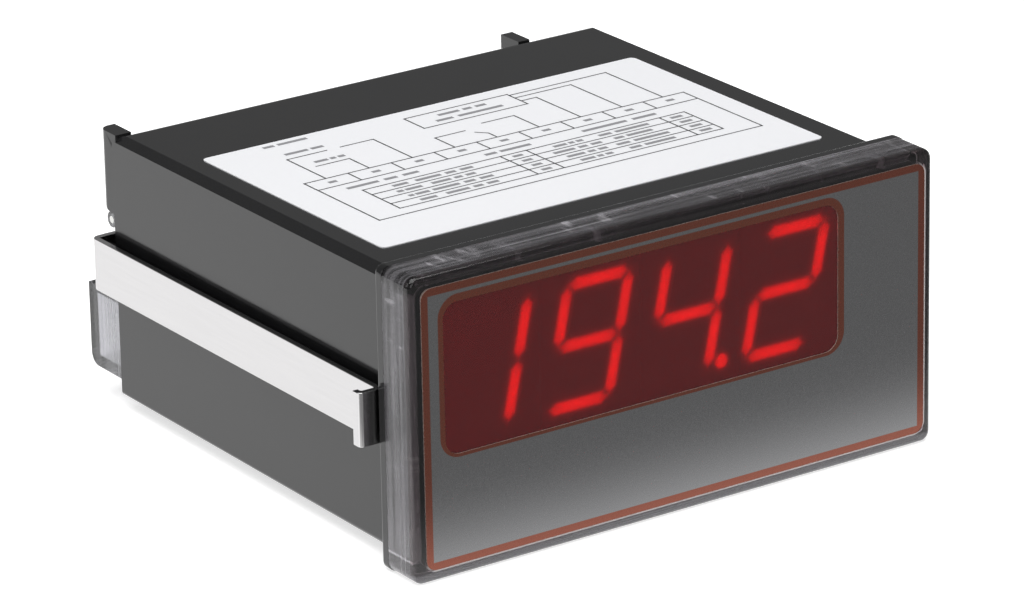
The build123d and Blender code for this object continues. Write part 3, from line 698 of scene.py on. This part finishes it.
@dataclass
class Bezel:
    """Clear tray in front of the flange, with the film, the red pane and the lit digits.

    Attributes:
        window_low, window_high: moves of the window's corners from those of the CAD pane.
        line_low, line_high: moves of the printed line's corners from those of the window.
        steps: inset, shrink and brightness of each ring of a lit bar, from its halo inwards.
        reading: the lit bars of each digit.
    """

    edge: float = 0.9 * MM
    edge_facets: int = 4
    corner: float = 1.7 * MM
    corner_facets: int = 6
    print_facets: int = 8
    wall: float = 2.0 * MM
    front: float = 2.0 * MM
    recess: float = 0.3 * MM
    rim_depth: float = 1.2 * MM
    sill_height: float = 1.6 * MM
    seat_gap: float = 0.03 * MM
    film_gap: float = 0.05 * MM
    film_shift: float = 0.2 * MM
    film_grow: float = 0.1 * MM
    film_corner: float = 1.8 * MM
    window_corner: float = 2.5 * MM
    window_low: Pair = (-0.25 * MM, -1.25 * MM)
    window_high: Pair = (0.25 * MM, 0.3 * MM)
    line_low: Pair = (-0.9 * MM, -0.55 * MM)
    line_high: Pair = (1.15 * MM, 1.2 * MM)
    line_corner: float = 3.5 * MM
    pane_gap: float = 0.02 * MM
    digits_x: float = -6.5 * MM
    digits_z: float = 6.95 * MM
    pitch: float = 18.2 * MM
    span: float = 11.1 * MM
    rise: float = 19.0 * MM
    bar: float = 2.0 * MM
    bar_gap: float = -0.45 * MM
    slant: float = 12.0
    point_x: float = 8.1 * MM
    point_lift: float = 0.6 * MM
    point_radius: float = 1.15 * MM
    point_gain: float = 1.3
    point_facets: int = 24
    halo: float = 1.6 * MM
    glow_lift: float = 0.05 * MM
    steps: tuple[Triple, ...] = (
        (0.80 * MM, 1.0, 0.06),
        (0.60 * MM, 1.0, 0.20),
        (0.35 * MM, 0.97, 0.56),
        (0.30 * MM, 0.84, 0.80),
        (0.25 * MM, 0.45, 1.0),
    )
    reading: list[list[Segment]] = field(default_factory=lambda: [
        [Segment.B, Segment.C],
        [Segment.A, Segment.B, Segment.C, Segment.D, Segment.F, Segment.G],
        [Segment.B, Segment.C, Segment.F, Segment.G, Segment.POINT],
        [Segment.A, Segment.B, Segment.D, Segment.E, Segment.G],
    ])

    def film_box(self) -> tuple[Vector, Vector]:
        """Corners of the film, which sits a little to the right on the tray."""
        low_by, high_by = self.film_shift - self.film_grow, self.film_shift + self.film_grow
        return grown(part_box("fascia_film"), (low_by, 0.0), (high_by, 0.0))

    def window_box(self) -> tuple[Vector, Vector]:
        """Corners of the film's window."""
        return grown(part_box("red_window"), self.window_low, self.window_high)

    def line_box(self) -> tuple[Vector, Vector]:
        """Outer corners of the line printed round the window."""
        return grown(self.window_box(), self.line_low, self.line_high)

    def build_tray(self, material: bpy.types.Material) -> None:
        """Makes the clear tray in place of its CAD node.

        Args:
            material: clear plastic.
        """
        low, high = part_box("front_bezel")
        film_low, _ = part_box("fascia_film")
        tool = Mesher("clear_bezel")
        seat = high.y - self.seat_gap
        tool.block(low, Vector((high.x, seat, high.z)))
        tool.round_edges(tool.edges_along_y(), self.corner, self.corner_facets)
        tool.round_edges(list(tool.end_face(front=True).edges), self.edge, self.edge_facets)
        self.sink(tool, tool.end_face(front=False), (self.wall, self.wall), 0.0, self.front - (seat - low.y))
        margin = [film_low[axis] - low[axis] - self.edge - self.film_gap for axis in (0, 2)]
        margin[0] -= self.film_grow
        self.sink(tool, tool.end_face(front=True), tuple(margin), self.film_shift, self.recess)
        bmesh.ops.recalc_face_normals(tool.bm, faces=tool.bm.faces[:])
        tray = tool.finish(material, "case")
        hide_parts("front_bezel")

    @staticmethod
    def sink(tool: Mesher, face: bmesh.types.BMFace, margin: Pair,
             aside: float, depth: float) -> None:
        """Sinks the middle of a face along Y and leaves a margin round it.

        Args:
            tool: mesh of the tray.
            face: flat face, centred on the Y axis.
            margin: width left standing at the sides and at top and bottom, in metres.
            aside: shift of the middle along X, in metres.
            depth: travel along Y, in metres.
        """
        half = Vector((max(v.co.x for v in face.verts), 1.0, max(v.co.z for v in face.verts)))
        narrow = Vector((1.0 - margin[0] / half.x, 1.0, 1.0 - margin[1] / half.z))
        same = Vector((1.0, 1.0, 1.0))
        for scale, shift in ((narrow, Vector((aside, 0.0, 0.0))), (same, Vector((0.0, depth, 0.0)))):
            face, verts = tool.step(face)
            bmesh.ops.scale(tool.bm, vec=scale, verts=verts)
            bmesh.ops.translate(tool.bm, verts=verts, vec=shift)

    def build_film(self, material: bpy.types.Material) -> None:
        """Makes the printed film with its window in place of its CAD node.

        Args:
            material: printed film.
        """
        low, high = self.film_box()
        tool = Mesher("printed_film")
        tool.block(low, high)
        bm = tool.bm
        tool.round_edges(tool.edges_along_y(), self.film_corner, self.print_facets)
        for front in (True, False):
            face, verts = tool.step(tool.end_face(front))
            for vert in verts:
                self.move_to_window(vert, low, high)
            bmesh.ops.delete(bm, geom=[face], context="FACES_ONLY")
        bmesh.ops.bridge_loops(bm, edges=[e for e in bm.edges if e.is_boundary])
        bmesh.ops.recalc_face_normals(bm, faces=bm.faces[:])
        film = tool.finish(material, "case")
        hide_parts("fascia_film")

    def move_to_window(self, vert: bmesh.types.BMVert, low: Vector, high: Vector) -> None:
        """Moves a vertex from the film's rounded corner to the window's.

        Args:
            vert: vertex on the outline of the film.
            low: lowest corner of the film.
            high: highest corner of the film.
        """
        window_low, window_high = self.window_box()
        for axis in (0, 2):
            right = vert.co[axis] > (low[axis] + high[axis]) / 2
            outer = high[axis] - self.film_corner if right else low[axis] + self.film_corner
            radius = self.window_corner
            inner = window_high[axis] - radius if right else window_low[axis] + radius
            vert.co[axis] = inner + (vert.co[axis] - outer) * radius / self.film_corner

    def build_pane(self, material: bpy.types.Material) -> None:
        """Makes the red pane, a hair thinner than its CAD node so that it clears the tray.

        Args:
            material: red filter.
        """
        low, high = self.window_box()
        tool = Mesher("red_filter_pane")
        gap = Vector((self.pane_gap, 0.0, self.pane_gap))
        tool.block(low + gap, high - gap - Vector((0.0, self.pane_gap, 0.0)))
        tool.round_edges(tool.edges_along_y(), self.window_corner - self.pane_gap, self.print_facets)
        pane = tool.finish(material, "case")
        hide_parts("red_window")

    def build_glow(self, material: bpy.types.Material) -> None:
        """Makes the lit bars of the reading, each a bright core in a soft halo.

        Args:
            material: glow finish, which reads the attribute of the same name.
        """
        low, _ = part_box("lit_segments")
        tool = Mesher("lit_bars")
        glow = tool.bm.verts.layers.float.new("glow")
        for index, lit in enumerate(self.reading):
            across = self.digits_x + (index - (len(self.reading) - 1) / 2) * self.pitch
            centre = Vector((across, low.y - self.glow_lift, self.digits_z))
            for segment in lit:
                self.add_bar(tool.bm, glow, segment, Matrix.Translation(centre))
        bmesh.ops.recalc_face_normals(tool.bm, faces=tool.bm.faces[:])
        for face in tool.bm.faces:
            if face.normal.y > 0:
                face.normal_flip()
        piece = tool.finish(material, "case")
        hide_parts("lit_segments")

    def add_bar(self, bm: bmesh.types.BMesh, glow: object, segment: Segment, place: Matrix) -> None:
        """Adds one lit bar: a ring of halo, the bar and its hot core.

        Args:
            bm: mesh to add to.
            glow: vertex layer of the brightness.
            segment: which bar.
            place: place of the digit.
        """
        across, up, flat = segment.value
        lean = math.tan(math.radians(self.slant))
        upright = Matrix.Rotation(math.radians(90.0), 4, "X")
        point = segment is Segment.POINT
        if point:
            radius = self.point_radius + self.halo
            facets, foot = self.point_facets, -self.rise / 2
            ring = bmesh.ops.create_circle(bm, cap_ends=True, segments=facets, radius=radius)["verts"]
            shift = Matrix.Translation((self.point_x + foot * lean, 0.0, self.point_lift + foot))
            place = place @ shift @ upright
        else:
            ring = bmesh.ops.create_circle(bm, cap_ends=True, segments=6, radius=1.0)["verts"]
            half = self.bar / 2 + self.halo
            tip = (self.span / 2 if flat else self.rise / 4) - self.bar_gap + self.halo
            for vert in ring:
                is_tip = abs(vert.co.x) < TINY
                aside = 0.0 if is_tip else math.copysign(half, vert.co.x)
                vert.co = Vector((aside, math.copysign(tip if is_tip else tip - half, vert.co.y), 0.0))
            turn = Matrix.Rotation(math.radians(90.0 if flat else 0.0), 4, "Z")
            shift = Matrix.Translation((across * self.span / 2, 0.0, up * self.rise / 2))
            slope = Matrix.Identity(4)
            slope[0][2] = lean
            place = place @ slope @ shift @ upright @ turn
        face = ring[0].link_faces[0]
        verts = set(ring)
        for thickness, shrink, level in self.steps:
            bmesh.ops.inset_region(
                bm, faces=[face], thickness=thickness, use_boundary=True, use_even_offset=True,
            )
            bmesh.ops.scale(bm, vec=Vector((1.0, 1.0 if point else shrink, 1.0)), verts=face.verts[:])
            verts.update(v for corner in face.verts for edge in corner.link_edges for v in edge.verts)
            for vert in face.verts:
                vert[glow] = level * (self.point_gain if point else 1.0)
        bmesh.ops.transform(bm, matrix=place, verts=list(verts))

    def build(self, finishes: dict[str, bpy.types.Material]) -> None:
        """Builds the pieces of the front.

        Args:
            finishes: materials by name.
        """
        self.build_tray(finishes["clear"])
        self.build_film(finishes["fascia"])
        self.build_pane(finishes["pane"])
        self.build_glow(finishes["glow"])


@dataclass
class LabelPrint:
    """Line print on the sticker: a framed table, a row of cells and plain wiring lines.

    Its sizes are in millimetres across and along the sticker, from the middle of its front edge.

    Attributes:
        rows: the two lengths of bar in each row of the table.
        row_bars: place of each bar in a row, its share of both lengths, and a length of its own.
        wires: cell that each wire leaves, its reach, and its turn across and along.
        leads: cell that each wire to the box leaves, and its reach.
        notes: centre and length of the bars outside the table.
        shares: start and length of the dashes that bars are parted into, by turns.
    """

    draft: float = 0.25
    lift: float = 0.02 * MM
    stroke: float = 0.28
    word: float = 0.85
    long_word: float = 3.0
    frame_low: Pair = (-34.4, 10.4)
    frame_high: Pair = (36.6, 31.2)
    cell_line: float = 27.3
    cells: int = 9
    cell_word: Pair = (2.0, 1.5)
    table_low: Pair = (-29.0, 13.0)
    table_high: Pair = (31.0, 23.3)
    columns: tuple[float, ...] = (-3.8, 1.0, 26.2)
    rows: tuple[Pair, ...] = ((9.5, 6.0), (11.0, 7.5), (8.0, 9.0), (10.5, 5.5))
    row_bars: tuple[tuple[float, float, float, float], ...] = (
        (-15.0, 1.0, 0.0, 0.0),
        (-23.0, 0.0, 0.5, 0.0),
        (-1.4, 0.0, 0.0, 1.8),
        (8.0, 0.0, 1.0, 0.0),
        (18.5, 0.9, 0.0, 0.0),
        (28.6, 0.0, 0.0, 2.2),
    )
    wires: tuple[tuple[int, float, float, float], ...] = (
        (0, 11.0, 7.2, 0.0),
        (1, 5.6, -6.0, 0.0),
        (2, 11.0, -6.0, 0.0),
        (3, 5.6, 5.6, 0.0),
        (4, 2.4, -1.4, 1.6),
        (5, 7.0, -6.0, 0.0),
    )
    box_low: Pair = (-5.5, 41.6)
    box_high: Pair = (14.0, 47.4)
    leads: tuple[tuple[int, float], ...] = ((6, 12.2), (7, 14.0), (8, 15.6))
    notes: tuple[Bar, ...] = (
        (-24.0, 25.3, 13.0),
        (-1.0, 25.3, 8.5),
        (20.0, 25.3, 14.0),
        (4.2, 45.6, 9.0),
        (4.2, 43.4, 12.5),
        (-26.0, 44.3, 7.0),
        (-25.0, 38.6, 5.5),
        (-26.5, 49.0, 8.0),
    )
    shares: tuple[tuple[Pair, ...], ...] = (
        ((0.0, 0.44), (0.52, 0.18), (0.78, 0.22)),
        ((0.0, 0.25), (0.33, 0.67)),
        ((0.0, 0.6), (0.68, 0.32)),
    )

    @staticmethod
    def outline(low: Pair, high: Pair) -> list[Stroke]:
        """The four strokes of a rectangle."""
        (x0, y0), (x1, y1) = low, high
        return [(x0, y0, x1, y0), (x1, y0, x1, y1), (x1, y1, x0, y1), (x0, y1, x0, y0)]

    def cell_middle(self, index: float) -> float:
        """Middle of a cell of the row, across the sticker; half an index less is its left side."""
        pitch = (self.frame_high[0] - self.frame_low[0]) / self.cells
        return self.frame_low[0] + pitch * (index + 0.5)

    def row_line(self, index: float) -> float:
        """Height of a line of the table, along the sticker."""
        return self.table_low[1] + (self.table_high[1] - self.table_low[1]) * index / len(self.rows)

    def lines(self) -> list[Stroke]:
        """Draws every stroke of the table, the cells, the box and the wires.

        Returns:
            Start and end of each stroke.
        """
        left, (right, top) = self.frame_low[0], self.frame_high
        (a0, b0), (a1, b1) = self.table_low, self.table_high
        strokes = self.outline(self.frame_low, self.frame_high) + self.outline(self.box_low, self.box_high)
        strokes.append((left, self.cell_line, right, self.cell_line))
        for i in range(1, self.cells):
            x = self.cell_middle(i - 0.5)
            strokes.append((x, self.cell_line, x, top))
        strokes += [(a0, self.row_line(i), a1, self.row_line(i)) for i in range(len(self.rows) + 1)]
        strokes += [(x, b0, x, b1) for x in (a0, *self.columns, a1)]
        for cell, reach, across, along in self.wires:
            x, y = self.cell_middle(cell), top + reach
            strokes += [(x, top, x, y), (x, y, x + across, y + along)]
        for cell, reach in self.leads:
            x, y = self.cell_middle(cell), top + reach
            strokes += [(x, top, x, y), (x, y, self.box_high[0], y)]
        return strokes

    def bars(self) -> list[Bar]:
        """Lays out the plain grey bars of the table, the cells and the notes.

        Returns:
            Centre and length of each bar.
        """
        bars = []
        for i, (first, second) in enumerate(self.rows):
            for x, of_first, of_second, own in self.row_bars:
                bars.append((x, self.row_line(i + 0.5), first * of_first + second * of_second + own))
        lift, length = self.cell_word
        bars += [(self.cell_middle(i), self.cell_line + lift, length) for i in range(self.cells)]
        return bars + list(self.notes)

    def words(self) -> list[Bar]:
        """Parts the long bars into short dashes.

        Returns:
            Centre and length of each dash.
        """
        dashes = []
        for i, (x, y, length) in enumerate(self.bars()):
            parts = self.shares[i % len(self.shares)] if length > self.long_word else ((0.0, 1.0),)
            dashes += [(x + length * (start + share / 2 - 0.5), y, length * share) for start, share in parts]
        return dashes

    def build(self, finishes: dict[str, bpy.types.Material]) -> None:
        """Makes the print just above the sticker.

        Args:
            finishes: materials by name.
        """
        low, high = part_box("top_label")
        tilt = Matrix.Rotation(math.radians(-self.draft), 4, "X")
        plane = Matrix.Translation((0.0, low.y, high.z + self.lift)) @ tilt @ Matrix.Scale(MM, 4)
        tool = Mesher("label_print")
        for x0, y0, x1, y1 in self.lines():
            start, end = Vector((x0, y0, 0.0)), Vector((x1, y1, 0.0))
            turn = Matrix.Rotation(math.atan2(y1 - y0, x1 - x0), 4, "Z")
            size = Matrix.Diagonal(((end - start).length + self.stroke, self.stroke, 1.0, 1.0))
            tool.quad(plane @ Matrix.Translation((start + end) / 2) @ turn @ size)
        for x, y, length in self.words():
            size = Matrix.Diagonal((length, self.word, 1.0, 1.0))
            verts = tool.quad(plane @ Matrix.Translation((x, y, 0.0)) @ size)
            for face in {f for v in verts for f in v.link_faces}:
                face.material_index = 1
        piece = tool.finish(finishes["ink"], "case")
        piece.data.materials.append(finishes["soft_ink"])


@dataclass
class Housing:
    """The CAD nodes that keep their meshes, with the finish of each and the small rounding of its edges."""

    nodes_of: dict[str, tuple[str, ...]] = field(default_factory=lambda: {
        "black": ("case",),
        "clear_cover": ("terminal_cover",),
        "paper": ("top_label",),
        "clip": ("left_clip", "right_clip"),
        "zinc": ("left_clip_screw", "right_clip_screw", "cover_pins", "terminal_screws", "terminal_clamps"),
        "terminal": ("terminal_block",),
        "module": ("digit_1", "digit_2", "digit_3", "digit_4"),
        "dark_lens": ("dark_segments",),
        "board": ("display_board", "main_board"),
        "epoxy": (
            "display_driver", "header_block", "controller_chip",
            "input_coupler", "bridge_rectifier", "regulator",
        ),
        "tinned": ("header_pins", "terminal_pins", "crystal"),
        "lamination": ("transformer_core",),
        "nylon": ("transformer_bobbin",),
        "tape": ("transformer_winding",),
        "sleeve": ("smoothing_capacitor", "output_capacitors"),
        "aluminium": ("heat_sink",),
    })
    rounded: dict[str, float] = field(default_factory=lambda: {
        "case": 0.22 * MM,
        "left_clip": 0.12 * MM,
        "right_clip": 0.12 * MM,
        "terminal_cover": 0.2 * MM,
        "terminal_block": 0.2 * MM,
    })
    weld_gap: float = 0.002 * MM
    sharp_angle: float = 40.0
    edge_facets: int = 2
    flat_weight: int = 100

    def build(self, finishes: dict[str, bpy.types.Material]) -> None:
        """Dresses the nodes.

        Args:
            finishes: materials by name.
        """
        for finish, names in self.nodes_of.items():
            for name in names:
                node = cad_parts[name]
                node.data.materials.clear()
                node.data.materials.append(finishes[finish])
                if name in self.rounded:
                    self.soften(node, self.rounded[name])
            LOG.info("finish %s: %s", finish, ", ".join(names))

    def soften(self, node: bpy.types.Object, width: float) -> None:
        """Joins a node's triangles, rounds its sharp edges and keeps its flats flat.

        Args:
            node: CAD node.
            width: width of the rounding in metres.
        """
        weld = node.modifiers.new("join", "WELD")
        weld.merge_threshold = self.weld_gap
        bevel = node.modifiers.new("soft_edges", "BEVEL")
        bevel.width = width
        bevel.segments = self.edge_facets
        bevel.limit_method = "ANGLE"
        bevel.angle_limit = math.radians(self.sharp_angle)
        even = node.modifiers.new("even_normals", "WEIGHTED_NORMAL")
        even.weight = self.flat_weight


@dataclass(frozen=True)
class Lamp:
    """A soft square lamp: where it hangs and its side in metres, and its power in watts."""

    name: str
    place: Triple
    size: float
    power: float

    def hang(self, target: Vector) -> None:
        """Adds the lamp to the scene, facing a target.

        Args:
            target: the point that it faces, in metres.
        """
        data = bpy.data.lights.new(self.name, "AREA")
        data.shape = "SQUARE"
        data.size = self.size
        data.energy = self.power
        lamp = placed(self.name, data)
        lamp.location = Vector(self.place)
        lamp.rotation_euler = (target - lamp.location).to_track_quat("-Z", "Y").to_euler()


@dataclass
class Studio:
    """Pale floor, soft lamps and the camera of the photo.

    Attributes:
        aim: shift of the view, across and up.
        pool, pool_far: brightness of the mirrored floor at the meter's front, and pool_reach before it.
        pool_behind: share of that brightness left pool_back behind the front.
        room: strength of the light from all round.
    """

    floor_z: float = -24.06 * MM
    floor_size: float = 8.0
    azimuth: float = -34.156
    elevation: float = 20.676
    roll: float = -1.114
    distance: float = 899.489 * MM
    focal_pixels: float = 6018.983
    aim: Pair = (-24.971 * MM, 8.472 * MM)
    face_y: float = -9.0 * MM
    clip_start: float = 0.01
    floor_colour: Colour = (0.82, 0.82, 0.82)
    mirrored_floor: Colour = (0.12, 0.12, 0.12)
    floor_glow: float = 0.62
    pool: float = 1.6
    pool_far: float = 0.27
    pool_reach: float = 40.0 * MM
    pool_behind: float = 0.77
    pool_back: float = 12.0 * MM
    middle: Triple = (0.0, 0.03, 0.0)
    room: float = 0.22
    lamps: tuple[Lamp, ...] = (
        Lamp("overhead_softbox", (-0.15, -0.10, 1.1), 1.2, 12.2),
        Lamp("front_softbox", (-0.55, -1.15, 0.55), 0.8, 2.6),
        Lamp("side_softbox", (-1.2, 0.35, 0.6), 0.8, 2.2),
    )

    def build_camera(self) -> None:
        """Sets the camera at the photo's view."""
        a, e = math.radians(self.azimuth), math.radians(self.elevation)
        outward = Vector((math.sin(a) * math.cos(e), -math.cos(a) * math.cos(e), math.sin(e)))
        level = (-outward).cross(Vector((0.0, 0.0, 1.0))).normalized()
        upright = level.cross(-outward)
        c, s = math.cos(math.radians(self.roll)), math.sin(math.radians(self.roll))
        right = level * c + upright * s
        up = upright * c - level * s
        place = right * self.aim[0] + up * self.aim[1] + outward * self.distance
        place += Vector((0.0, self.face_y, 0.0))
        data = bpy.data.cameras.new("studio_camera")
        data.sensor_fit = "HORIZONTAL"
        data.sensor_width = SENSOR_MM
        data.lens = self.focal_pixels / IMAGE_WIDTH * SENSOR_MM
        data.clip_start = self.clip_start
        camera = placed("studio_camera", data)
        camera.matrix_world = Matrix((
            (right.x, up.x, outward.x, place.x),
            (right.y, up.y, outward.y, place.y),
            (right.z, up.z, outward.z, place.z),
            (0.0, 0.0, 0.0, 1.0),
        ))
        bpy.context.scene.camera = camera

    def build_floor(self) -> None:
        """Lays the pale floor, which shows white and keeps the meter's shadow."""
        tool = bmesh.new()
        bmesh.ops.create_grid(tool, x_segments=1, y_segments=1, size=self.floor_size / 2,
                              matrix=Matrix.Translation((0.0, 0.0, self.floor_z)))
        mesh = bpy.data.meshes.new("floor")
        tool.to_mesh(mesh)
        tool.free()
        floor = placed("floor", mesh)
        shader = Shader("floor_paper")
        shader.set(Roughness=0.9, Specular_IOR_Level=0.0)
        rays = shader.tree.nodes.new("ShaderNodeLightPath")
        mirrored = rays.outputs["Is Glossy Ray"]
        shader.link(shader.mix(mirrored, self.floor_colour, self.mirrored_floor), "Base Color")
        seen = shader.maths("MAXIMUM", rays.outputs["Is Camera Ray"], rays.outputs["Is Transmission Ray"])
        front = shader.maths("MULTIPLY", shader.axis("Y"), -1.0)
        pool = shader.remap(front, 0.0, self.pool_reach, self.pool, self.pool_far, smooth=True)
        near = shader.remap(front, -self.pool_back, 0.0, self.pool_behind, 1.0)
        pool = shader.maths("MULTIPLY", pool, near)
        glossy = shader.maths("MULTIPLY", mirrored, pool)
        bright = shader.maths("MAXIMUM", shader.maths("MULTIPLY", seen, self.floor_glow), glossy)
        shader.link(bright, "Emission Strength")
        shader.set(Emission_Color=(1.0, 1.0, 1.0, 1.0))
        mesh.materials.append(shader.material)

    def build_light(self) -> None:
        """Hangs the lamps and sets the dim room round them."""
        for lamp in self.lamps:
            lamp.hang(Vector(self.middle))
        world = bpy.data.worlds.new("room")
        world.use_nodes = True
        back = world.node_tree.nodes["Background"]
        back.inputs["Color"].default_value = (1.0, 1.0, 1.0, 1.0)
        back.inputs["Strength"].default_value = self.room
        bpy.context.scene.world = world

    def build(self) -> None:
        """Builds the studio."""
        self.build_camera()
        self.build_floor()
        self.build_light()
        bpy.context.scene.view_settings.view_transform = "Standard"


def make_finishes(bezel: Bezel) -> dict[str, bpy.types.Material]:
    """Makes every finish of the meter.

    Args:
        bezel: front of the meter, whose film carries the print.

    Returns:
        Materials by name.
    """
    bezel_low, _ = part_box("front_bezel")
    film, line = middle_and_half(*bezel.film_box()), middle_and_half(*bezel.line_box())
    finishes = {
        "black": GlossMoulding("black_moulding", (0.009, 0.009, 0.0095)),
        "clear": ClearMoulding(
            # rim is painted shade: the dark look of the clear front rim is put into its colour.
            "clear_moulding", (0.66, 0.64, 0.68), rim=(0.22, 0.16, 0.17),
            clear_to=bezel_low.y + bezel.rim_depth, sill=bezel_low.z + bezel.sill_height,
            # A painted highlight is laid along the right and lower edges of the film's recess.
            lip_highlight_haze=0.7, lip_centre=film[0], lip_half=film[1], lip_corner=bezel.film_corner,
        ),
        "clear_cover": ClearMoulding(
            "cover_moulding", (0.70, 0.70, 0.73), 0.04, side_haze=0.07, under_haze=0.25,
        ),
        "fascia": FasciaPrint(*film, *line, bezel.line_corner),
        "pane": RedPane(),
        "glow": Glow(),
        # The clip's faces that look to the front are darkened to 0.8 as painted shade.
        "clip": PlatedSteel("clip_strip", (0.62, 0.612, 0.616), 0.2, painted_front_shade=0.8),
        "zinc": PlatedSteel("zinc_plate", (0.66, 0.66, 0.64), 0.24, (1.0, 1.0, 0.2)),
        "tinned": PlatedSteel("tinned_wire", (0.74, 0.74, 0.72), 0.2),
        "aluminium": PlatedSteel("sink_extrusion", (0.62, 0.62, 0.63), 0.38, (1.0, 1.0, 0.05)),
        "lamination": PlatedSteel("core_lamination", (0.24, 0.25, 0.27), 0.45, (0.1, 1.0, 0.1)),
        "paper": Paper("label_paper", (0.93, 0.935, 0.96)),
        "ink": Paper("label_ink", (0.06, 0.06, 0.065)),
        "soft_ink": Paper("label_soft_ink", (0.30, 0.30, 0.315)),
        "terminal": GrainMoulding("terminal_moulding", (0.022, 0.022, 0.023), 0.45),
        "module": GrainMoulding("module_face", (0.012, 0.009, 0.009), 0.5),
        "dark_lens": GrainMoulding("unlit_guide", (0.03, 0.008, 0.008), 0.4),
        "board": GrainMoulding("board_lacquer", (0.012, 0.10, 0.035), 0.35, 700.0),
        "epoxy": GrainMoulding("chip_epoxy", (0.018, 0.018, 0.019), 0.5),
        "nylon": GrainMoulding("bobbin_nylon", (0.78, 0.76, 0.70), 0.45),
        "tape": GrainMoulding("winding_tape", (0.66, 0.46, 0.08), 0.4, 500.0),
        "sleeve": GlossMoulding("capacitor_sleeve", (0.012, 0.018, 0.07), 0.25),
    }
    return {name: finish.build() for name, finish in finishes.items()}


def main() -> None:
    """Builds the dressed meter and its studio."""
    logging.basicConfig(level=logging.INFO, format="%(name)s: %(message)s")
    bezel = Bezel()
    finishes = make_finishes(bezel)
    Housing().build(finishes)
    bezel.build(finishes)
    LabelPrint().build(finishes)
    Studio().build()


if __name__ == "__main__":
    main()
